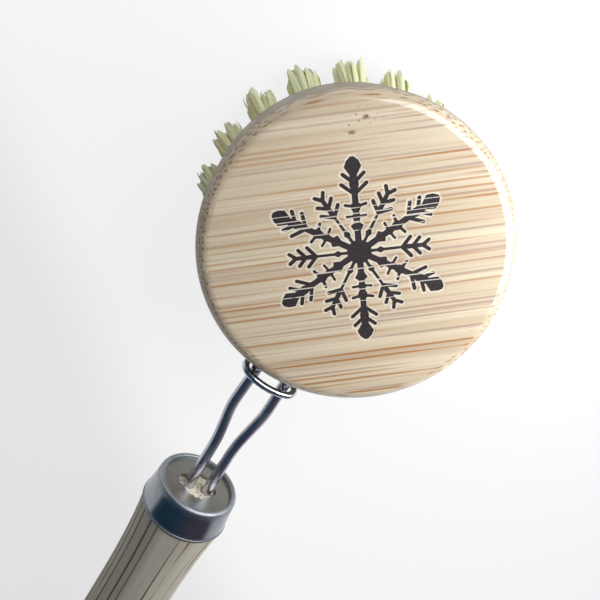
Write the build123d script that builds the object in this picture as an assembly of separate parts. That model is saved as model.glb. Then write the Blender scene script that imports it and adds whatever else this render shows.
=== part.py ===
from build123d import *
from math import asin, atan2, cos, degrees, hypot, pi, radians, sin
import os

os.makedirs("parts", exist_ok=True)

# Head block: a turned bamboo disc. Its flat top face is at z = 0, bristles point down.
head_diameter = 50.0
head_thickness = 16.0
head_top_edge_radius = 2.2
head_bottom_edge_radius = 1.2
head_radius = head_diameter / 2

# Snowflake burnt into the top face, a little off the middle and turned.
mark_side_shift = 0.2
mark_back_shift = -0.7
mark_turn = 6.85
mark_arms = 6
mark_burn_depth = 0.12
mark_halo_depth = 0.04
mark_halo_width = 0.3
mark_reach = 14.5
mark_stroke = 0.58

# The snowflake's shapes, as shares of its reach. A blade is a row of distances from the middle,
# each with its half width. A barb has its root's distance, its tip's distance and its tip's
# distance from the arm's middle line, and then its width as a share of the common stroke.
hub_share = 0.134
main_blade_shares = [
    [(0.110, 0.034), (0.621, 0.032)],
    [(0.207, 0.024), (0.287, 0.069), (0.312, 0.034)],
    [(0.338, 0.024), (0.386, 0.052), (0.412, 0.030)],
    [(0.440, 0.040), (0.503, 0.062), (0.521, 0.038)],
    [(0.614, 0.024), (0.710, 0.050), (0.828, 0.036)],
    [(0.800, 0.031), (0.897, 0.090), (0.960, 0.062), (1.000, 0.017)],
]
main_barb_shares = [
    (0.376, 0.386, 0.098, 0.7),
    (0.483, 0.508, 0.107, 0.8),
    (0.614, 0.722, 0.130, 1.0),
    (0.731, 0.826, 0.109, 1.0),
]
side_blade_shares = [
    [(0.117, 0.017), (0.462, 0.014)],
    [(0.190, 0.017), (0.226, 0.036), (0.260, 0.017)],
    [(0.441, 0.014), (0.497, 0.028), (0.712, 0.021)],
]
side_barb_shares = [
    (0.455, 0.545, 0.104, 1.0),
    (0.566, 0.640, 0.086, 1.0),
    (0.669, 0.738, 0.052, 1.0),
]

# Bristle tufts, in rings: how many, the circle of their holes and the circle of their tips.
# The outer ring is turned by a share of its step.
bristle_length = 24.0
tuft_hole_diameter = 4.8
tuft_hole_depth = 8.5
tuft_hole_clearance = 0.05
inner_tufts = 6
inner_hole_circle_radius = 6.8
inner_tip_circle_radius = 9.7
middle_tufts = 12
middle_hole_circle_radius = 13.4
middle_tip_circle_radius = 18.2
outer_tufts = 18
outer_hole_circle_radius = 20.2
outer_tip_circle_radius = 26.8
outer_turn_share = 0.88

# Strands of one tuft: an outer circle of them round a few in the middle, uneven at the tips.
strand_root_width = 0.62
strand_tip_width = 0.42
strand_root_circle_radius = 1.75
strand_core_circle_radius = 0.6
rim_strands = 10
core_strands = 3
core_turn_share = 0.5
strand_spread_share = 1.5
strand_unevenness = 4.2
strand_root_sink = 0.9
tuft_collar_height = 0.35
golden_share = 0.618034

# Flat wire anchor that holds each folded tuft at the bottom of its hole.
anchor_thickness = 0.4
anchor_height = 1.6
anchor_bite = 0.3
anchor_play = 0.04
anchor_lift = 0.9

# Fork: two spring steel wires, from bores in the handle's end to bores in the head's wall.
# The left wire's belly lies a little nearer the handle than the right one's.
wire_diameter = 2.0
wire_end_chamfer = 0.3
wire_play = 0.05
fork_reach = 28.2
fork_entry_depth = 5.5
handle_droop = 6.4
prong_depth = 14.0
prong_gap = 5.6
prong_bend_distance = 1.5
prong_bend_radius = 12.0
belly_gap = 6.05
belly_distance = 9.5
belly_lag = 0.9
belly_bend_radius = 20.0
neck_gap = 3.56
neck_distance = 17.6
neck_bend_radius = 28.0
tail_bend_radius = 14.0
tail_depth = 24.0
bore_end_gap = 0.3
head_side_shift = 0.13
tail_side_shift = -0.28

# Clip ring: an oval of round wire that slides on the fork and keeps the prongs together. It
# leans and is a little turned, and its middle hangs just below the wires' middle lines.
ring_wire_diameter = 1.3
ring_play = 0.15
ring_inner_depth = 3.7
ring_end_radius = 1.85
ring_lean = 16.0
ring_turn = -3.5
ring_stand_off = 1.85
ring_sink = 0.03
ring_seam_width = 0.12
ring_seam_shift = 2.7

# Ferrule: a pressed steel cap with a rolled rim, a sunk end plate and a beaded lower edge.
ferrule_length = 6.6
ferrule_wall = 0.4
ferrule_rim_radius = 7.75
ferrule_rim_roll = 0.7
ferrule_lip_roll = 0.35
ferrule_lower_radius = 8.38
ferrule_bead_radius = 0.28
ferrule_plate_recess = 0.75
ferrule_fit = 0.04
opening_diameter = 6.5
opening_slot_end_margin = 1.0
opening_slot_side_margin = 0.6

# Handle: turned bamboo, slimmer behind the ferrule, fuller in the grip, with a hanging hole.
# It is turned a little to the side of the fork, about a point inside the ferrule.
handle_turn = 2.0
handle_turn_distance = 31.0
handle_end_gap = 0.3
handle_length = 160.0
handle_shoulder_step = 0.08
handle_waist_radius = 7.45
handle_waist_distance = 30.0
handle_grip_radius = 8.7
handle_grip_distance = 98.0
handle_tail_radius = 7.0
handle_end_edge_radius = 4.5
hang_hole_diameter = 5.5
hang_hole_distance = 15.0
hang_hole_chamfer = 0.6

# How far a cutter runs past what it cuts.
overrun = 2.0

wire_radius = wire_diameter / 2
bore_radius = wire_radius + wire_play
tuft_hole_radius = tuft_hole_diameter / 2
tuft_radius = tuft_hole_radius - tuft_hole_clearance

# The fork lies in its own plane: local X is across, local Y runs towards the tail from the point
# where the fork enters the head's wall, and local Z is up off the plane. The ferrule and the
# handle share one place, which is the fork's, turned in its plane.
fork_plane = Plane(
    origin=(0, head_radius, -fork_entry_depth),
    x_dir=(1, 0, 0),
    z_dir=(0, sin(radians(handle_droop)), cos(radians(handle_droop))),
)
handle_swing = Pos(0, handle_turn_distance) * Rot(0, 0, handle_turn) * Pos(0, -handle_turn_distance)
handle_place = fork_plane * handle_swing
plate_level = fork_reach + ferrule_plate_recess
handle_end_level = plate_level + ferrule_wall + handle_end_gap
shoulder_level = fork_reach + ferrule_length + ferrule_fit


def save(shape, node):
    """Write one node, with its name on the shape."""
    shape.label = node
    export_step(shape, f"parts/{node}.step")


def stroke(start, end, width):
    """A round-ended line of the given width between two points."""
    run = hypot(end[0] - start[0], end[1] - start[1])
    turn = degrees(atan2(end[1] - start[1], end[0] - start[0]))
    middle = ((start[0] + end[0]) / 2, (start[1] + end[1]) / 2)
    return Pos(*middle) * Rot(0, 0, turn) * SlotCenterToCenter(run, width)


def barbs(root_share, tip_share, side_share, stroke_share, grow):
    """A pair of strokes that sweep outwards from the arm's middle line."""
    root = (mark_reach * root_share, 0)
    tip = mark_reach * tip_share
    side = mark_reach * side_share
    width = mark_stroke * stroke_share + 2 * grow
    return [stroke(root, (tip, side), width), stroke(root, (tip, -side), width)]


def blade(station_shares, grow):
    """A symmetrical flat shape along X, grown all round."""
    reaches = [mark_reach * share for share, _ in station_shares]
    halves = [mark_reach * half_share + grow for _, half_share in station_shares]
    reaches[0] -= grow
    reaches[-1] += grow
    upper = list(zip(reaches, halves))
    lower = [(reach, -half) for reach, half in reversed(upper)]
    return make_face(Polyline(*upper, *lower, close=True))


def arm(blade_shares, barb_shares, grow):
    """One arm along X: its blades and its pairs of barbs."""
    pieces = [blade(station_shares, grow) for station_shares in blade_shares]
    for shares in barb_shares:
        pieces += barbs(*shares, grow)
    return pieces


def snowflake(grow):
    """The mark's outline, each of its shapes grown by the same margin."""
    half_turn = 180 / mark_arms
    side_arm = arm(side_blade_shares, side_barb_shares, grow)
    petal = arm(main_blade_shares, main_barb_shares, grow)
    petal += [Rot(0, 0, half_turn) * piece for piece in side_arm]
    hub = RegularPolygon(mark_reach * hub_share + grow, 2 * mark_arms)
    turns = [360 * index / mark_arms for index in range(mark_arms)]
    pieces = [Rot(0, 0, turn) * piece for turn in turns for piece in petal]
    figure = hub.fuse(*pieces).clean()
    return Pos(mark_side_shift, mark_back_shift) * Rot(0, 0, mark_turn) * figure


class TuftPlace:
    """Where one tuft sits: its hole's mouth, its tip and its turn about the head's middle."""

    def __init__(self, hole_circle_radius, tip_circle_radius, turn, serial):
        self.lean = tip_circle_radius - hole_circle_radius
        self.hole_circle_radius = hole_circle_radius
        self.turn = turn
        self.serial = serial
        axis = Vector(self.lean, 0, -bristle_length).normalized()
        self.hole = Plane(
            origin=(hole_circle_radius, 0, -head_thickness),
            x_dir=(0, 1, 0),
            z_dir=axis,
        )

    def turned(self, shape):
        return Rot(0, 0, self.turn) * shape


def tuft_places():
    """Every tuft of the head with its node's name."""
    places = {"tuft_centre": TuftPlace(0, 0, 0, 0)}
    rings = [
        ("inner", inner_tufts, inner_hole_circle_radius, inner_tip_circle_radius, 0),
        ("middle", middle_tufts, middle_hole_circle_radius, middle_tip_circle_radius, 0),
        ("outer", outer_tufts, outer_hole_circle_radius, outer_tip_circle_radius, outer_turn_share),
    ]
    for name, count, hole_circle_radius, tip_circle_radius, turn_share in rings:
        for index in range(count):
            turn = 360 * (index + turn_share) / count
            place = TuftPlace(hole_circle_radius, tip_circle_radius, turn, len(places))
            places[f"tuft_{name}_{index + 1:02d}"] = place
    return places


def anchor_box(place, play):
    """The flat anchor across a tuft's hole, or its pocket when it is given some play."""
    length = tuft_hole_diameter + 2 * anchor_bite
    middle = -tuft_hole_depth + anchor_lift + anchor_height / 2
    box = Box(length + 2 * play, anchor_thickness + 2 * play, anchor_height + 2 * play)
    return place.turned(place.hole * (Pos(0, 0, middle) * box))


def strand(place, root_offset, serial):
    """One tapered four-sided strand, from inside the tuft's root to its flat-cut tip."""
    uneven = (serial * golden_share + place.serial * golden_share ** 2) % 1
    cut = 0 if serial == 0 else strand_unevenness * uneven ** 2
    root_level = -head_thickness + strand_root_sink
    tip_level = -head_thickness - bristle_length + cut
    along = (strand_root_sink + bristle_length - cut) / bristle_length
    root_x = place.hole_circle_radius - place.lean * strand_root_sink / bristle_length
    tip_x = root_x + place.lean * along
    twist = 45 + degrees(uneven)
    tip_offset = (strand_spread_share * root_offset[0], strand_spread_share * root_offset[1])
    root = Plane((root_x + root_offset[0], root_offset[1], root_level))
    tip = Plane((tip_x + tip_offset[0], tip_offset[1], tip_level))
    root_face = root * Rot(0, 0, twist) * Rectangle(strand_root_width, strand_root_width)
    tip_face = tip * Rot(0, 0, twist) * Rectangle(strand_tip_width, strand_tip_width)
    return loft([root_face, tip_face], ruled=True)


def tuft(place):
    """Strands fused to the bound root that fills the hole and is folded round its anchor."""
    length = tuft_hole_depth - tuft_hole_clearance + tuft_collar_height
    middle = tuft_collar_height - length / 2
    root = place.hole * (Pos(0, 0, middle) * Cylinder(tuft_radius, length))
    offsets = []
    for index in range(rim_strands):
        angle = 2 * pi * index / rim_strands
        offsets.append((strand_root_circle_radius * cos(angle), strand_root_circle_radius * sin(angle)))
    for index in range(core_strands):
        angle = 2 * pi * (index + core_turn_share) / core_strands
        offsets.append((strand_core_circle_radius * cos(angle), strand_core_circle_radius * sin(angle)))
    strands = [strand(place, offset, serial) for serial, offset in enumerate(offsets)]
    return place.turned(root.fuse(*strands)) - anchor_box(place, anchor_play)


def head_block(places):
    """The bamboo disc with rounded edges, tuft holes, anchor pockets, prong bores and mark."""
    block = Pos(0, 0, -head_thickness / 2) * Cylinder(head_radius, head_thickness)
    rims = block.edges().filter_by(GeomType.CIRCLE).sort_by(Axis.Z)
    block = fillet(rims[-1], head_top_edge_radius)
    rims = block.edges().filter_by(GeomType.CIRCLE).sort_by(Axis.Z)
    block = fillet(rims[0], head_bottom_edge_radius)
    cutters = []
    for place in places.values():
        length = tuft_hole_depth + overrun
        middle = overrun - length / 2
        hole = place.hole * (Pos(0, 0, middle) * Cylinder(tuft_hole_radius, length))
        cutters.append(place.turned(hole))
        cutters.append(anchor_box(place, anchor_play))
    for side in (-1, 1):
        length = prong_depth + bore_end_gap + overrun
        across = head_side_shift + side * prong_gap / 2
        middle = overrun - length / 2
        bore = Pos(across, middle, 0) * Rot(90, 0, 0) * Cylinder(bore_radius, length)
        cutters.append(fork_plane * bore)
    block = block - cutters
    for grow, depth in ((mark_halo_width, mark_halo_depth), (0, mark_burn_depth)):
        block = block - extrude(Pos(0, 0, -depth) * snowflake(grow), overrun)
    return block


def wire_leg(side):
    """One leg of the fork, bent from straight runs joined by arcs."""
    head_across = head_side_shift + side * prong_gap / 2
    tail_across = tail_side_shift + side * neck_gap / 2
    tail_start = handle_swing * Pos(tail_across, plate_level - wire_radius)
    tail_end = handle_swing * Pos(tail_across, handle_end_level + tail_depth)
    route = [
        (head_across, -prong_depth),
        (head_across, prong_bend_distance),
        (head_side_shift + side * belly_gap / 2, belly_distance + side * belly_lag / 2),
        (head_side_shift + side * neck_gap / 2, neck_distance),
        tail_start.position,
        tail_end.position,
    ]
    radii = [prong_bend_radius, belly_bend_radius, neck_bend_radius, tail_bend_radius]
    path = FilletPolyline(*route, radius=radii)
    section = Plane(origin=path @ 0, z_dir=path % 0) * Circle(wire_radius)
    leg = sweep(section, path=path)
    ends = leg.edges().filter_by(GeomType.CIRCLE).sort_by(Axis.Y)
    leg = chamfer([ends[0], ends[-1]], wire_end_chamfer)
    return fork_plane * leg


def clip_ring():
    """An oval of wire made of four arcs, open at a narrow seam, leaning on the fork."""
    half_length = (belly_gap + wire_diameter + ring_wire_diameter) / 2 + ring_play
    half_depth = (ring_inner_depth + ring_wire_diameter) / 2
    end_centre = half_length - ring_end_radius
    rise = half_depth - ring_end_radius
    drop = (end_centre ** 2 - rise ** 2) / (2 * rise)
    side_radius = half_depth + drop
    half_sweep = degrees(asin(end_centre / (side_radius - ring_end_radius)))
    arcs = [
        CenterArc((0, -drop), side_radius, 90 - half_sweep, 2 * half_sweep),
        CenterArc((-end_centre, 0), ring_end_radius, 90 + half_sweep, 180 - 2 * half_sweep),
        CenterArc((0, drop), side_radius, 270 - half_sweep, 2 * half_sweep),
        CenterArc((end_centre, 0), ring_end_radius, half_sweep - 90, 180 - 2 * half_sweep),
    ]
    path = Wire(arcs)
    section = Plane(origin=path @ 0, z_dir=path % 0) * Circle(ring_wire_diameter / 2)
    ring = sweep(section, path=path)
    seam_depth = ring_wire_diameter + ring_inner_depth / 2
    seam = Pos(ring_seam_shift, half_depth, 0) * Box(ring_seam_width, seam_depth, 2 * ring_wire_diameter)
    hang = Pos(head_side_shift, ring_stand_off, -ring_sink) * Rot(0, 0, ring_turn) * Rot(90 - ring_lean, 0, 0)
    return fork_plane * (hang * (ring - seam))


def ferrule():
    """The pressed cap: a turned shell whose end plate is cut for the two wires."""
    rim = fork_reach
    roll_middle = ferrule_rim_radius - ferrule_rim_roll
    foot = rim + ferrule_length
    inner_top = plate_level + ferrule_wall
    bead_middle = foot - ferrule_bead_radius
    inner_rim_radius = roll_middle - ferrule_lip_roll
    outline = [
        Line((0, plate_level), (inner_rim_radius, plate_level)),
        Line((inner_rim_radius, plate_level), (inner_rim_radius, rim + ferrule_lip_roll)),
        RadiusArc((inner_rim_radius, rim + ferrule_lip_roll), (roll_middle, rim), -ferrule_lip_roll),
        RadiusArc((roll_middle, rim), (ferrule_rim_radius, rim + ferrule_rim_roll), -ferrule_rim_roll),
        Line((ferrule_rim_radius, rim + ferrule_rim_roll),
             (ferrule_lower_radius, bead_middle - ferrule_bead_radius)),
        ThreePointArc((ferrule_lower_radius, bead_middle - ferrule_bead_radius),
                      (ferrule_lower_radius + ferrule_bead_radius / 2, bead_middle),
                      (ferrule_lower_radius, foot)),
        Line((ferrule_lower_radius, foot), (ferrule_lower_radius - ferrule_wall, foot)),
        Line((ferrule_lower_radius - ferrule_wall, foot), (ferrule_rim_radius - ferrule_wall, inner_top)),
        Line((ferrule_rim_radius - ferrule_wall, inner_top), (0, inner_top)),
        Line((0, inner_top), (0, plate_level)),
    ]
    cap = revolve(make_face(outline), axis=Axis.Y)
    slot_length = neck_gap + wire_diameter + 2 * opening_slot_end_margin
    slot_width = wire_diameter + 2 * opening_slot_side_margin
    hole = Pos(tail_side_shift, 0) * Circle(opening_diameter / 2)
    opening = hole + SlotOverall(slot_length, slot_width)
    cutter = extrude(Plane.XZ.offset(-plate_level - ferrule_wall - overrun / 2) * opening, ferrule_wall + overrun)
    return handle_place * (cap - cutter)


def handle():
    """The turned handle: a neck inside the ferrule, a long soft profile and a rounded end."""
    neck_start_radius = ferrule_rim_radius - ferrule_wall - ferrule_fit
    neck_end_radius = ferrule_lower_radius - ferrule_wall - ferrule_fit
    shoulder_radius = ferrule_lower_radius - handle_shoulder_step
    tail = shoulder_level + handle_length
    slope = (neck_end_radius - neck_start_radius) / (shoulder_level - handle_end_level)
    profile = Spline(
        (shoulder_radius, shoulder_level),
        (handle_waist_radius, shoulder_level + handle_waist_distance),
        (handle_grip_radius, shoulder_level + handle_grip_distance),
        (handle_tail_radius, tail),
        tangents=[(-slope, 1), (0, 1)],
    )
    outline = [
        Line((0, handle_end_level), (neck_start_radius, handle_end_level)),
        Line((neck_start_radius, handle_end_level), (neck_end_radius, shoulder_level)),
        Line((neck_end_radius, shoulder_level), (shoulder_radius, shoulder_level)),
        profile,
        Line((handle_tail_radius, tail), (0, tail)),
        Line((0, tail), (0, handle_end_level)),
    ]
    body = revolve(make_face(outline), axis=Axis.Y)
    end_rim = body.edges().filter_by(GeomType.CIRCLE).sort_by(Axis.Y)[-1]
    body = fillet(end_rim, handle_end_edge_radius)
    cutters = []
    for side in (-1, 1):
        across = tail_side_shift + side * neck_gap / 2
        length = tail_depth + bore_end_gap + overrun
        middle = handle_end_level + tail_depth + bore_end_gap - length / 2
        cutters.append(Pos(across, middle, 0) * Rot(90, 0, 0) * Cylinder(bore_radius, length))
    body = body - cutters
    hole_level = tail - hang_hole_distance
    hole = Cylinder(hang_hole_diameter / 2, 2 * handle_grip_radius + overrun)
    body = body - Pos(0, hole_level, 0) * hole
    mouth = body.edges().filter_by_position(
        Axis.Y, hole_level - hang_hole_diameter, hole_level + hang_hole_diameter
    )
    body = chamfer(mouth.filter_by(lambda edge: edge.geom_type != GeomType.LINE), hang_hole_chamfer)
    return handle_place * body


places = tuft_places()
save(head_block(places), "head_block")
save(Compound(children=[anchor_box(place, 0) for place in places.values()]), "tuft_anchors")
for node, place in places.items():
    save(tuft(place), node)
save(wire_leg(1), "left_fork_wire")
save(wire_leg(-1), "right_fork_wire")
save(clip_ring(), "clip_ring")
save(ferrule(), "ferrule")
save(handle(), "handle")
strands = len(places) * (rim_strands + core_strands)
print(f"{strands} strands in {len(places)} tufts")
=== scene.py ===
import math
import random

import bmesh
import bpy
from mathutils import Matrix, Vector


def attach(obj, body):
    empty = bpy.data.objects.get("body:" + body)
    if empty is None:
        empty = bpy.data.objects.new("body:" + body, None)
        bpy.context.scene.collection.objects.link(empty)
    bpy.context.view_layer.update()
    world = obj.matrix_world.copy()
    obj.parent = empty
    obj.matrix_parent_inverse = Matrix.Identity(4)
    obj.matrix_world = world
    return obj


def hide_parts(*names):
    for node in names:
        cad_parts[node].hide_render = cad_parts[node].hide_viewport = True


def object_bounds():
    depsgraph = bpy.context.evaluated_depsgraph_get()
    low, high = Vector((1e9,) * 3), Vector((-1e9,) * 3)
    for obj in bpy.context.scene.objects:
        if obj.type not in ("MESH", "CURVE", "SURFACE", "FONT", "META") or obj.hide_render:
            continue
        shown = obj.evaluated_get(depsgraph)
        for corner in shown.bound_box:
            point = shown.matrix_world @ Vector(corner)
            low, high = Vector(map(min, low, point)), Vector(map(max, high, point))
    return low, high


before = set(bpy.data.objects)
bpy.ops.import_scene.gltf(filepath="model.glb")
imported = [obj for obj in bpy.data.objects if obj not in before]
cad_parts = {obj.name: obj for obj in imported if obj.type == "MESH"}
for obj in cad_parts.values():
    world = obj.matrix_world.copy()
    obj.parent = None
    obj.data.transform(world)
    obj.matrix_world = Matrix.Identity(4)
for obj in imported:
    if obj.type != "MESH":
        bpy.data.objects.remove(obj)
cad_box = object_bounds()
mm = 0.001

# Camera: it looks down on the head from just over a hand's width away, turned so that the
# fork and the handle leave the picture at its lower left corner.
camera_place = Vector((25.38, -18.756, 102.951)) * mm
camera_turn = (-19.308, -1.849, -149.221)
camera_lens = 42
sensor_width = 36

bpy.ops.object.camera_add(location=camera_place)
camera = bpy.context.object
camera.rotation_euler = [math.radians(angle) for angle in camera_turn]
camera.data.lens = camera_lens
camera.data.sensor_width = sensor_width
camera.data.clip_start = 5 * mm
bpy.context.scene.camera = camera
bpy.context.scene.view_settings.view_transform = "Standard"


class Shade:
    """A socket of a finish, so that a finish can be written as sums."""

    def __init__(self, tree, socket=None):
        self.tree = tree
        self.socket = socket

    def node(self, kind, settings, inputs, output=0):
        """Add a node: its settings first, then its values or links. Returns one of its outputs."""
        node = self.tree.nodes.new("ShaderNode" + kind)
        for name, setting in settings.items():
            setattr(node, name, setting)
        for name, value in inputs.items():
            socket = node.inputs[name]
            if isinstance(value, Shade):
                self.tree.links.new(value.socket, socket)
            elif socket.type == "RGBA":
                socket.default_value = (*value, 1)
            else:
                socket.default_value = value
        return Shade(self.tree, node.outputs[output] if node.outputs else None)

    def maths(self, operation, first, second=0):
        return self.node("Math", {"operation": operation}, {0: first, 1: second})

    def __add__(self, other):
        return self.maths("ADD", self, other)

    def __radd__(self, other):
        return self.maths("ADD", other, self)

    def __sub__(self, other):
        return self.maths("SUBTRACT", self, other)

    def __rsub__(self, other):
        return self.maths("SUBTRACT", other, self)

    def __mul__(self, other):
        return self.maths("MULTIPLY", self, other)

    def __rmul__(self, other):
        return self.maths("MULTIPLY", other, self)

    def __rtruediv__(self, other):
        return self.maths("DIVIDE", other, self)

    def __abs__(self):
        return self.maths("ABSOLUTE", self)

    def rise(self, low, high):
        """0 up to the first value and 1 from the second, or the other way round."""
        settings = {"interpolation_type": "SMOOTHSTEP"}
        return self.node("MapRange", settings, {"Value": self, "From Min": low, "From Max": high})

    def mix(self, first, second):
        """From the first colour to the second by this value."""
        return self.node("Mix", {"data_type": "RGBA"}, {0: self, 6: first, 7: second}, 2)

    def stretched(self, scale):
        """A place with each of its coordinates scaled, for a pattern that is longer one way."""
        return self.node("VectorMath", {"operation": "MULTIPLY"}, {0: self, 1: scale})

    def noise(self, scale, detail=2):
        """Clouded values from 0 to 1 over a place, so many to the metre along each axis."""
        return self.node("TexNoise", {}, {"Vector": self.stretched(scale), "Scale": 1, "Detail": detail})

    def part(self, axis):
        return self.node("SeparateXYZ", {}, {"Vector": self}, axis)


def new_finish(name):
    """An empty finish and the start of its sums."""
    finish = bpy.data.materials.new(name)
    finish.use_nodes = True
    finish.node_tree.nodes.clear()
    return finish, Shade(finish.node_tree)


# Floor and light: a pale table under a window close by at the picture's upper right, with a
# softer lamp at its right and one low at its top. The room is dark above the brush and pale low
# at the sides, which its bright metal shows. Painted shade greys the table's glow a little towards the left.
floor_size = 3.0
floor_colour = (0.9, 0.9, 0.9)
floor_glow_share = 0.82
floor_painted_shade = (0.86, 0.86, 0.86)
painted_shade_from = 46 * mm
painted_shade_to = 72 * mm
painted_shade_azimuth = math.radians(50)
lamps = [
    ("window", -108, 54, 0.20, 0.11, 0.21, (0.94, 0.97, 1.0)),
    ("side_lamp", -150, 30, 0.085, 0.07, 0.122, (0.95, 0.99, 1.0)),
    ("low_lamp", -45, 4, 0.16, 0.16, 0.055, (1.0, 0.99, 0.95)),
]
side_azimuth = math.radians(-150)
room_light_far = (0.05, 0.05, 0.055)
room_light_near = (0.26, 0.265, 0.28)
room_teal = (0.024, 0.062, 0.10)
room_violet = (0.10, 0.085, 0.11)
room_pale = (0.80, 0.81, 0.83)

bpy.ops.object.select_all(action="DESELECT")
bpy.ops.mesh.primitive_plane_add(size=floor_size, location=(0, 0, cad_box[0].z))
floor = bpy.context.object
floor.name = "floor"
finish, start = new_finish("pale_table")
seen = start.node("LightPath", {}, {}, "Is Camera Ray")
mirrored = start.node("LightPath", {}, {}, "Is Glossy Ray")
through = start.node("LightPath", {}, {}, "Is Transmission Ray")
side_direction = Vector((math.cos(side_azimuth), math.sin(side_azimuth), 0))
painted_shade_direction = Vector((math.cos(painted_shade_azimuth), math.sin(painted_shade_azimuth), 0))
place = start.node("TexCoord", {}, {}, "Object")
across = start.node("VectorMath", {"operation": "DOT_PRODUCT"}, {0: place, 1: painted_shade_direction}, "Value")
# Painted shade: the table's glow greys towards the left, as if the light fell off there.
glow_with_painted_shade = across.rise(painted_shade_from, painted_shade_to).mix((1, 1, 1), floor_painted_shade)
lit = start.node("BsdfDiffuse", {}, {"Color": floor_colour})
white = start.node("Emission", {}, {"Color": glow_with_painted_shade, "Strength": 1})
glow = floor_glow_share * (seen + mirrored + through)
table = start.node("MixShader", {}, {0: glow, 1: lit, 2: white})
start.node("OutputMaterial", {}, {"Surface": table})
floor.data.materials.append(finish)

world = bpy.data.worlds.new("room")
bpy.context.scene.world = world
world.use_nodes = True
world.node_tree.nodes.clear()
start = Shade(world.node_tree)
seen = start.node("LightPath", {}, {}, "Is Camera Ray")
mirrored = start.node("LightPath", {}, {}, "Is Glossy Ray")
direction = start.node("TexCoord", {}, {}, "Generated")
towards = start.node("VectorMath", {"operation": "DOT_PRODUCT"}, {0: direction, 1: side_direction}, "Value")
room_light = towards.rise(-0.6, 0.9).mix(room_light_far, room_light_near)
room_dark = towards.rise(-0.5, 0.3).mix(room_teal, room_violet)
mirror_colour = direction.part("Z").rise(0.02, 0.22).mix(room_pale, room_dark)
plain_colour = seen.mix(room_light, (1, 1, 1))
room = start.node("Background", {}, {"Color": mirrored.mix(plain_colour, mirror_colour)})
start.node("OutputWorld", {}, {"Surface": room})

for name, azimuth, elevation, distance, size, power, colour in lamps:
    out = Matrix.Rotation(math.radians(azimuth), 3, "Z") @ Matrix.Rotation(math.radians(-elevation), 3, "Y")
    out = out @ Vector((1, 0, 0))
    bpy.ops.object.light_add(type="AREA", location=out * distance)
    lamp = bpy.context.object
    lamp.name = name
    lamp.rotation_euler = out.to_track_quat("Z", "Y").to_euler()
    lamp.data.size = size
    lamp.data.energy = power
    lamp.data.color = colour

# Head block: a disc of bamboo turned on a lathe, with rounded rims and a satin lacquer. Its
# fibre bundles run across it, so they are stripes on the face and dots on the rim. A hot
# stamp has burnt the snowflake into it, which left a pale halo and missed some hard bundles.
grain_angle = math.radians(38)
grain_dive = math.radians(0.25)
bundle_spacing = 0.88 * mm
bundle_layer = 0.36 * mm
bundle_scatter = 0.65
burn_level = -0.08 * mm
halo_level = -0.02 * mm
mark_limit = 19 * mm
missed_bundles = [
    (-7.53 * mm, 0.07 * mm), (-6.63 * mm, 0.09 * mm), (-6.05 * mm, 0.07 * mm), (-5.35 * mm, 0.16 * mm),
    (-4.07 * mm, 0.08 * mm), (2.0 * mm, 0.11 * mm), (4.1 * mm, 0.12 * mm), (5.36 * mm, 0.09 * mm),
    (7.29 * mm, 0.06 * mm),
]
knots = [(10.1 * mm, -18.1 * mm), (10.7 * mm, -15.2 * mm), (13.2 * mm, -21.2 * mm)]
knot_patch = (11 * mm, -17 * mm)
knot_patch_radius = 3.2 * mm
knot_squash = 0.55
wall_top = -0.5 * mm
wall_start = -2.0 * mm
cream_light = (0.71, 0.60, 0.44)
cream_dark = (0.54, 0.41, 0.275)
cream_green = (0.60, 0.53, 0.37)
wall_painted_shade = (0.22, 0.19, 0.145)
stripe_orange = (0.40, 0.185, 0.06)
stripe_mauve = (0.43, 0.30, 0.23)
end_brown = (0.24, 0.13, 0.065)
knot_colour = (0.19, 0.09, 0.045)
burn_colour = (0.014, 0.009, 0.011)
burn_brown = (0.10, 0.045, 0.03)
halo_colour = (0.84, 0.78, 0.69)

finish, start = new_finish("lacquered_bamboo")
place = start.node("TexCoord", {}, {}, "Object")
turn = (0, grain_dive, -grain_angle)
grain = start.node("Mapping", {}, {"Vector": place, "Rotation": turn})
sway = grain.noise((22, 60, 60)) - 0.5
swayed = start.node("CombineXYZ", {}, {"Y": sway * 0.5 * mm, "Z": sway * -0.2 * mm})
bent = start.node("VectorMath", {"operation": "ADD"}, {0: grain, 1: swayed})
packed = start.node("CombineXYZ", {}, {
    "X": bent.part("Y") * (1 / bundle_spacing),
    "Y": bent.part("Z") * (1 / bundle_layer) + bundle_scatter / 2,
})
flat = {"voronoi_dimensions": "2D"}
bundle_inputs = {"Vector": packed, "Scale": 1, "Randomness": bundle_scatter}
bundle = start.node("TexVoronoi", flat, bundle_inputs, "Distance")
bundle_tint = start.node("TexVoronoi", flat, bundle_inputs, "Color")
hue = start.node("SeparateColor", {}, {"Color": bundle_tint}, "Red")
strength = start.node("SeparateColor", {}, {"Color": bundle_tint}, "Green")
depth = place.part("Z")
on_wall = depth.rise(wall_top, wall_start)
at_end = depth.rise(-0.08 * mm, -0.6 * mm)
fullness = (strength.rise(-0.1, 1.0) + at_end).rise(0.0, 1.0)
stripe = bundle.rise(0.32, 0.12) * (0.5 + 0.5 * fullness) * grain.noise((70, 700, 700)).rise(0.0, 0.3)
veins = bent.noise((6, 1500, 700), 3).rise(0.54, 0.64)
hair = grain.noise((60, 5200, 3200), 4)
wood = bent.noise((8, 330, 300), 3).rise(0.3, 0.7).mix(cream_dark, cream_light)
wood = (grain.noise((10, 150, 150)).rise(0.5, 0.75) * 0.6).mix(wood, cream_green)
wood = (veins * 0.55).mix(wood, stripe_mauve)
stripe_colour = (at_end * 0.8).mix(hue.rise(0.55, 0.7).mix(stripe_orange, stripe_mauve), end_brown)
wood = stripe.mix(wood, stripe_colour)
wood = (hair.rise(0.48, 0.75) * 0.3).mix(wood, stripe_mauve)
# Painted shade: the rim wall below the face is darkened towards a dull brown, as if it were in shade.
wood = (on_wall * 0.65).mix(wood, wall_painted_shade)

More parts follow.
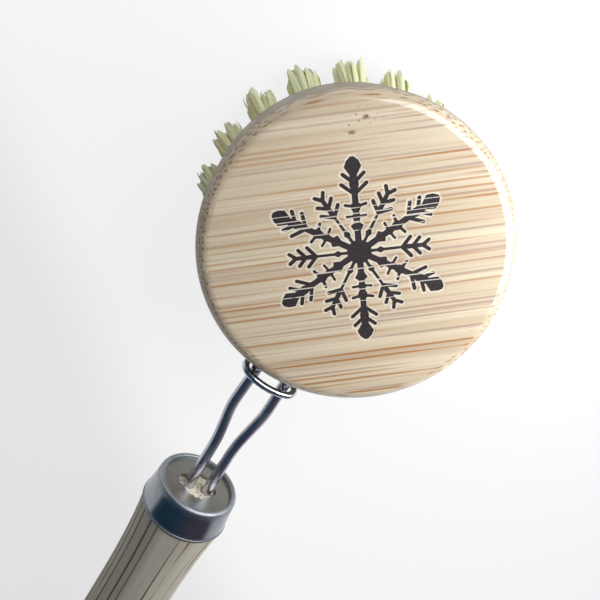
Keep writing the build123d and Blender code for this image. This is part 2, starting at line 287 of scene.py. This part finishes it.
flat_place = place.stretched((1, 1, 0))
squashed = grain.stretched((knot_squash, 1, 0))
off_middle = start.node("VectorMath", {"operation": "LENGTH"}, {0: flat_place}, "Value")
on_face = depth.rise(-1.2 * mm, -0.6 * mm)


def off_spot(spot):
    """How far off a spot on the face is, with the lengths along the grain shortened."""
    middle = Matrix.Rotation(-grain_angle, 3, "Z") @ Vector((*spot, 0))
    middle.x = middle.x * knot_squash
    return start.node("VectorMath", {"operation": "DISTANCE"}, {0: squashed, 1: middle}, "Value")


knot = 0
for spot in knots:
    ragged = off_spot(spot) + (place.noise((2500, 2500, 2500)) - 0.5) * 0.6 * mm
    knot = knot + ragged.rise(0.42 * mm, 0.15 * mm)
speck_inputs = {"Vector": place.stretched((1500, 1500, 900)), "Scale": 1}
specks = start.node("TexVoronoi", {}, speck_inputs, "Distance").rise(0.32, 0.2)
knot = knot + off_spot(knot_patch).rise(knot_patch_radius, 0) * specks * 0.8
wood = (knot * on_face * 0.8).mix(wood, knot_colour)

inside = off_middle.rise(mark_limit, mark_limit - mm)
burn = depth.rise(burn_level + 0.01 * mm, burn_level) * inside
halo = depth.rise(halo_level, halo_level - 0.01 * mm) * inside * (1 - burn)
across = grain.part("Y") + (grain.noise((160, 500, 0)) - 0.5) * 0.25 * mm
missed = 0
for bundle_place, half_width in missed_bundles:
    line = abs(across - bundle_place).rise(half_width, 0.6 * half_width)
    missed = missed + line
missed = (missed * grain.noise((260, 300, 0)).rise(0.28, 0.45)).rise(0.0, 0.8)
wood = (halo * (0.2 + 0.5 * hair)).mix(wood, halo_colour)
char = grain.noise((900, 2600, 0), 3)
burnt = (missed * 0.55 + char.rise(0.46, 0.72) * 0.28).mix(burn_colour, burn_brown)
burnt = (missed * 0.62).mix(burnt, halo_colour)
face = burn.mix(wood, burnt)
rough = 0.30 + 0.14 * hair + 0.4 * burn + 0.25 * on_wall
relief = 0.4 * hair - 0.45 * stripe - 0.5 * burn * char
bump = start.node("Bump", {}, {"Strength": 0.3, "Distance": 0.05 * mm, "Height": relief})
lacquer = start.node("BsdfPrincipled", {}, {
    "Base Color": face, "Roughness": rough, "Normal": bump,
    "Coat Weight": (1 - 0.95 * burn) * (1 - 0.9 * on_wall), "Coat Roughness": 0.06,
})
start.node("OutputMaterial", {}, {"Surface": lacquer})
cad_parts["head_block"].material_slots[0].material = finish

# Bristles: plant fibre, folded round an anchor in each hole and cut about level. A tuft is some
# pointed clumps of flat fibres that splay outwards. One fibre is shaped, bent into a few, and
# gathered into clumps, and every tuft is made of copies of those.
bristle_rings = [
    ("centre", 1, 0, 0, 0),
    ("inner", 6, 6.8 * mm, 9.7 * mm, 0),
    ("middle", 12, 13.4 * mm, 18.2 * mm, 0),
    ("outer", 18, 20.2 * mm, 27.1 * mm, 0.88),
]
hole_mouth_level = -16 * mm
fibre_length = 24 * mm
fibre_width = 1.15 * mm
fibre_thickness = 0.3 * mm
fibre_profile_shares = [(0.3, 1.0, 0.25), (0.6, 1.0, 0.7), (0.82, 0.85, 1.0), (0.93, 0.5, 0.8)]
fibre_bows = [0.1 * mm, 0.3 * mm, 0.5 * mm]
fibres_in_clump = 8
clump_radius = 0.8 * mm
clump_tip_radius = 0.5 * mm
clump_variants = 6
clumps_round = 8
clump_circle_radius = 1.3 * mm
clump_tip_radial_spread = 2.4 * mm
clump_tip_side_spread = 3.3 * mm
shortest_fibre_share = 0.78
shortest_clump_share = 0.8
root_sink = 1.5 * mm
root_depth = 8.0 * mm
root_radius = 2.33 * mm
root_rim = 0.4 * mm
tip_margin = 0.2 * mm
golden_angle = math.radians(137.5)
fibre_straw = (0.91, 0.84, 0.42)
fibre_green = (0.77, 0.82, 0.45)
fibre_pale = (0.95, 0.95, 0.72)
fibre_olive = (0.68, 0.63, 0.27)
random.seed(41)


def pick(piece, chosen):
    """Select the vertices of a piece in edit mode by their places, and nothing else."""
    mesh = bmesh.from_edit_mesh(piece.data)
    for vertex in mesh.verts:
        vertex.select = chosen(vertex.co)
    mesh.select_flush_mode()
    mesh.select_flush(True)
    bmesh.update_edit_mesh(piece.data)


def copy_of(piece, matrix):
    twin = piece.copy()
    twin.data = piece.data.copy()
    twin.data.transform(matrix)
    bpy.context.collection.objects.link(twin)
    return twin


def join(pieces, name):
    bpy.ops.object.select_all(action="DESELECT")
    for piece in pieces:
        piece.select_set(True)
    bpy.context.view_layer.objects.active = pieces[0]
    bpy.ops.object.join()
    pieces[0].name = name
    return pieces[0]


def shift_tint(piece):
    """Move a piece's whole UV map by a random count of steps, which gives it other tints."""
    step = Vector((random.randrange(1, 4000), 0))
    for corner in piece.data.uv_layers[0].uv:
        corner.vector = corner.vector + step


def aimed(root, tip, length, roll):
    """What takes a piece that stands at the origin to the root, aimed and stretched to the tip."""
    run = tip - root
    aim = Vector((0, 0, 1)).rotation_difference(run).to_matrix().to_4x4()
    stretch = Matrix.Scale(run.length / length, 4, (0, 0, 1))
    return Matrix.Translation(root) @ aim @ Matrix.Rotation(roll, 4, "Z") @ stretch


fibres = []
for bow in fibre_bows:
    bpy.ops.object.select_all(action="DESELECT")
    bpy.ops.mesh.primitive_cylinder_add(
        vertices=4, radius=fibre_width / 2, depth=fibre_length, location=(0, 0, fibre_length / 2),
    )
    fibre = bpy.context.object
    bpy.ops.object.transform_apply(location=True, rotation=True, scale=True)
    bpy.ops.object.mode_set(mode="EDIT")
    bpy.ops.transform.resize(value=(fibre_thickness / fibre_width, 1, 1))
    for height_share, width_share, bow_share in fibre_profile_shares:
        level = fibre_length * height_share
        bpy.ops.mesh.select_all(action="SELECT")
        bpy.ops.mesh.bisect(plane_co=(0, 0, level), plane_no=(0, 0, 1))
        pick(fibre, lambda spot: abs(spot.z - level) < 0.01 * mm)
        bpy.ops.transform.resize(value=(width_share, width_share, 1), center_override=(0, 0, level))
        bpy.ops.transform.translate(value=(bow * bow_share, 0, 0))
    pick(fibre, lambda spot: spot.z > fibre_length - 0.01 * mm)
    bpy.ops.mesh.merge(type="CENTER")
    bpy.ops.object.mode_set(mode="OBJECT")
    bpy.ops.object.shade_smooth_by_angle(angle=math.radians(60))
    for corner in fibre.data.uv_layers[0].uv:
        corner.vector = (0.05 + 0.9 * corner.vector.x, corner.vector.y)
    fibres.append(fibre)

clumps = []
for variant in range(clump_variants):
    members = []
    for index in range(fibres_in_clump):
        spread = math.sqrt(index / fibres_in_clump)
        angle = index * golden_angle + variant
        out = Vector((math.cos(angle), math.sin(angle), 0))
        share = 1 - (1 - shortest_fibre_share) * spread * random.random()
        tip = out * clump_tip_radius * spread + Vector((0, 0, fibre_length * share))
        root = out * clump_radius * spread
        roll = angle + random.uniform(-0.7, 0.7)
        member = copy_of(random.choice(fibres), aimed(root, tip, fibre_length, roll))
        shift_tint(member)
        members.append(member)
    clumps.append(join(members, f"clump_{variant}"))

bpy.ops.object.select_all(action="DESELECT")
bpy.ops.mesh.primitive_cylinder_add(
    vertices=20, radius=root_radius, depth=root_depth, location=(0, 0, -root_rim - root_depth / 2),
)
root_plug = bpy.context.object
bpy.ops.object.transform_apply(location=True, rotation=True, scale=True)
bpy.ops.object.mode_set(mode="EDIT")
pick(root_plug, lambda spot: spot.z > -root_rim - 0.01 * mm)
bpy.ops.mesh.inset(thickness=root_rim)
bpy.ops.transform.translate(value=(0, 0, 0.75 * root_rim))
bpy.ops.mesh.inset(thickness=2 * root_rim)
bpy.ops.transform.translate(value=(0, 0, -0.25 * root_rim))
bpy.ops.object.mode_set(mode="OBJECT")

finish, start = new_finish("plant_fibre")
spread_map = start.node("UVMap", {"uv_map": fibres[0].data.uv_layers[0].name}, {})
turn_share = start.node("SeparateXYZ", {}, {"Vector": spread_map}, "X")
along = start.node("SeparateXYZ", {}, {"Vector": spread_map}, "Y")
serial = turn_share.maths("FLOOR", turn_share)
tint = start.node("TexWhiteNoise", {"noise_dimensions": "1D"}, {"W": serial}, "Value")
other_tint = start.node("TexWhiteNoise", {"noise_dimensions": "1D"}, {"W": serial + 0.5}, "Value")
streak = spread_map.noise((22, 3, 1), 3)
edge = abs((turn_share * (2 * math.pi)).maths("SINE", turn_share * (2 * math.pi)))
tip_share = along.rise(0.86, 1.0)
fibre = tint.rise(0.25, 0.75).mix(fibre_straw, fibre_green)
fibre = (other_tint.rise(0.6, 0.95) * 0.6).mix(fibre, fibre_olive)
fibre = (streak.rise(0.5, 0.7) * 0.4).mix(fibre, fibre_olive)
fibre = (edge.rise(0.75, 1.0) * 0.75).mix(fibre, fibre_pale)
fibre = (tip_share * 0.45).mix(fibre, fibre_pale)
bump = start.node("Bump", {}, {"Strength": 0.4, "Distance": 0.05 * mm, "Height": streak})
plant = start.node("BsdfPrincipled", {}, {
    "Base Color": fibre, "Roughness": 0.5 + 0.2 * streak, "Normal": bump,
})
start.node("OutputMaterial", {}, {"Surface": plant})

for ring, count, hole_circle_radius, tip_circle_radius, turn_share in bristle_rings:
    for index in range(count):
        number = "" if ring == "centre" else f"_{index + 1:02d}"
        swing = Matrix.Rotation(2 * math.pi * (index + turn_share) / count, 4, "Z")
        mouth = Vector((hole_circle_radius, 0, hole_mouth_level))
        tips = Vector((tip_circle_radius, 0, cad_box[0].z + tip_margin))
        lean = (tips - mouth).normalized()
        pieces = []
        for clump_index in range(clumps_round + 1):
            angle = 2 * math.pi * (clump_index + random.uniform(-0.15, 0.15)) / clumps_round
            out = Vector((math.cos(angle), math.sin(angle), 0))
            if clump_index == clumps_round:
                out = Vector((0, 0, 0))
            spread = Vector((out.x * clump_tip_radial_spread, out.y * clump_tip_side_spread, 0))
            root = mouth + out * clump_circle_radius - lean * root_sink
            tip = tips + spread * random.uniform(0.75, 1.0)
            share = 1 - (1 - shortest_clump_share) * random.random()
            tip = root + (tip - root) * share
            roll = random.uniform(0, 2 * math.pi)
            matrix = swing @ aimed(root, tip, fibre_length, roll)
            clump = copy_of(random.choice(clumps), matrix)
            shift_tint(clump)
            pieces.append(clump)
        pieces.append(copy_of(root_plug, swing @ aimed(mouth, mouth + lean, 1, 0)))
        tuft = join(pieces, f"bristles_{ring}{number}")
        tuft.data.materials.clear()
        tuft.data.materials.append(finish)
        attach(tuft, "head")
        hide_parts(f"tuft_{ring}{number}")
for template in (*fibres, *clumps, root_plug):
    bpy.data.objects.remove(template)

# Fork: two legs of drawn spring steel, bent alike and pressed into the handle's end. Drawing
# leaves faint lines along them, and handling has dulled them in patches.
wire_bright = (0.64, 0.63, 0.68)
wire_dull = (0.50, 0.47, 0.53)
finish, start = new_finish("drawn_wire")
place = start.node("TexCoord", {}, {}, "Object")
line = place.noise((5200, 120, 5200), 3)
patch = place.noise((420, 160, 420), 3)
bump = start.node("Bump", {}, {"Strength": 0.12, "Distance": 0.02 * mm, "Height": line})
steel = start.node("BsdfPrincipled", {}, {
    "Base Color": patch.rise(0.35, 0.65).mix(wire_dull, wire_bright), "Metallic": 1,
    "Roughness": 0.20 + 0.10 * line + 0.14 * patch.rise(0.45, 0.7), "Normal": bump,
})
start.node("OutputMaterial", {}, {"Surface": steel})
for node in ("left_fork_wire", "right_fork_wire", "tuft_anchors"):
    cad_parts[node].material_slots[0].material = finish

# Clip ring: one turn of softer bright wire, bent to an oval and closed on a seam. It is the
# brightest metal here, with a few rubbed marks.
ring_bright = (0.58, 0.63, 0.68)
ring_rubbed = (0.45, 0.46, 0.50)
finish, start = new_finish("bright_wire")
place = start.node("TexCoord", {}, {}, "Object")
mark = place.noise((900, 2600, 2600), 4)
cloud = place.noise((350, 350, 350), 2)
bump = start.node("Bump", {}, {"Strength": 0.15, "Distance": 0.02 * mm, "Height": mark})
steel = start.node("BsdfPrincipled", {}, {
    "Base Color": (mark.rise(0.5, 0.7) * 0.7).mix(ring_bright, ring_rubbed), "Metallic": 1,
    "Roughness": 0.12 + 0.12 * cloud + 0.1 * mark.rise(0.5, 0.7), "Normal": bump,
})
start.node("OutputMaterial", {}, {"Surface": steel})
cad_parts["clip_ring"].material_slots[0].material = finish

# Ferrule: a cap pressed from thin steel sheet, polished outside. Its sunk end plate was never
# polished: it is dull, speckled and a little brown from use.
fork_place = Vector((0, 25, -5.5)) * mm
handle_droop = math.radians(6.4)
handle_turn = math.radians(2)
handle_turn_distance = 31 * mm
plate_edge_radius = 6.7 * mm
bead_distance = 34.1 * mm
cap_bright = (0.62, 0.60, 0.56)
cap_polished = (0.34, 0.365, 0.395)
cap_dull_and_crease_shade = (0.23, 0.24, 0.265)
plate_grey = (0.31, 0.315, 0.30)
plate_brown = (0.33, 0.26, 0.21)
rim_distance = 28 * mm

fork_axes = Matrix.Rotation(-handle_droop, 4, "X")
handle_axes = fork_axes @ Matrix.Rotation(handle_turn, 4, "Z")
turn_point = Vector((0, handle_turn_distance, 0))
handle_origin = fork_place + fork_axes @ turn_point - handle_axes @ turn_point
handle_inputs = {"Location": handle_origin, "Rotation": handle_axes.to_euler()}

finish, start = new_finish("pressed_cap")
place = start.node("TexCoord", {}, {}, "Object")
along_handle = start.node("Mapping", {"vector_type": "TEXTURE"}, {"Vector": place, **handle_inputs})
off_axis = start.node("VectorMath", {"operation": "LENGTH"}, {0: along_handle.stretched((1, 0, 1))}, "Value")
plate = off_axis.rise(plate_edge_radius, plate_edge_radius - 0.3 * mm)
crease = along_handle.part("Y").rise(bead_distance - 0.35 * mm, bead_distance)
at_rim = along_handle.part("Y").rise(rim_distance + 2.2 * mm, rim_distance + 0.6 * mm) * (1 - plate)
cloud = along_handle.noise((260, 260, 260), 3)
scuffs = along_handle.noise((500, 3800, 500), 4)
specks = along_handle.noise((3600, 3600, 3600), 2).rise(0.64, 0.72)
stain = along_handle.noise((300, 300, 300), 2).rise(0.55, 0.68)
cap = (cloud.rise(0.4, 0.7) * 0.5).mix(cap_polished, cap_dull_and_crease_shade)
# Painted shade: the crease at the bead is darkened towards the dull colour, where shade would fall.
cap = (crease * 0.6).mix(cap, cap_dull_and_crease_shade)
plate_colour = (stain * 0.5).mix(plate_grey, plate_brown)
plate_colour = (specks * 0.4).mix(plate_colour, cap_bright)
rough = 0.12 + 0.10 * scuffs + 0.06 * cloud + plate * 0.16 + at_rim * 0.28 + crease * 0.3
relief = 0.5 * scuffs + plate * specks
bump = start.node("Bump", {}, {"Strength": 0.15, "Distance": 0.03 * mm, "Height": relief})
steel = start.node("BsdfPrincipled", {}, {
    "Base Color": plate.mix(cap, plate_colour), "Metallic": 1, "Roughness": rough, "Normal": bump,
})
start.node("OutputMaterial", {}, {"Surface": steel})
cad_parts["ferrule"].material_slots[0].material = finish

# Handle: a stick of bamboo turned on a lathe and left matt. Its fibre bundles run along it
# and show as thin brown lines, and the wood between them has greyed a little.
handle_grey = (0.55, 0.51, 0.42)
handle_cream = (0.72, 0.67, 0.54)
handle_ochre = (0.48, 0.36, 0.22)
handle_line = (0.12, 0.07, 0.045)
handle_line_ochre = (0.30, 0.17, 0.07)
line_spacing = 0.75 * mm
handle_radius = 7.5 * mm
end_grain_radius = 6 * mm
finish, start = new_finish("matt_bamboo")
place = start.node("TexCoord", {}, {}, "Object")
along_handle = start.node("Mapping", {"vector_type": "TEXTURE"}, {"Vector": place, **handle_inputs})
off_axis = start.node("VectorMath", {"operation": "LENGTH"}, {0: along_handle.stretched((1, 0, 1))}, "Value")
outward = handle_radius / off_axis.maths("MAXIMUM", off_axis, end_grain_radius)
sway = along_handle.noise((60, 12, 60)) - 0.5
bent = start.node("CombineXYZ", {}, {
    "X": along_handle.part("X") * outward + sway * 0.5 * mm, "Y": along_handle.part("Y"),
    "Z": along_handle.part("Z") * outward - sway * 0.4 * mm,
})
packed = start.node("CombineXYZ", {}, {
    "X": bent.part("X") * (1 / line_spacing), "Y": bent.part("Z") * (1 / line_spacing),
})
bundle_inputs = {"Vector": packed, "Scale": 1}
bundle = start.node("TexVoronoi", flat, bundle_inputs, "Distance")
bundle_tint = start.node("TexVoronoi", flat, bundle_inputs, "Color")
hue = start.node("SeparateColor", {}, {"Color": bundle_tint}, "Red")
strength = start.node("SeparateColor", {}, {"Color": bundle_tint}, "Green")
shown = (strength + along_handle.noise((500, 85, 500)) - 0.5).rise(0.34, 0.62)
line = bundle.rise(0.36, 0.16) * shown
fine_line = bent.noise((3600, 30, 3600), 3)
wood = bent.noise((330, 10, 330), 3).rise(0.35, 0.65).mix(handle_grey, handle_cream)
wood = (bent.noise((160, 12, 160)).rise(0.55, 0.7) * 0.6).mix(wood, handle_ochre)
wood = (fine_line.rise(0.52, 0.7) * 0.35).mix(wood, handle_ochre)
wood = line.mix(wood, hue.rise(0.45, 0.75).mix(handle_line, handle_line_ochre))
relief = 0.5 * fine_line - 0.6 * line
bump = start.node("Bump", {}, {"Strength": 0.4, "Distance": 0.06 * mm, "Height": relief})
matt = start.node("BsdfPrincipled", {}, {
    "Base Color": wood, "Roughness": 0.5 + 0.15 * fine_line, "Normal": bump,
})
start.node("OutputMaterial", {}, {"Surface": matt})
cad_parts["handle"].material_slots[0].material = finish
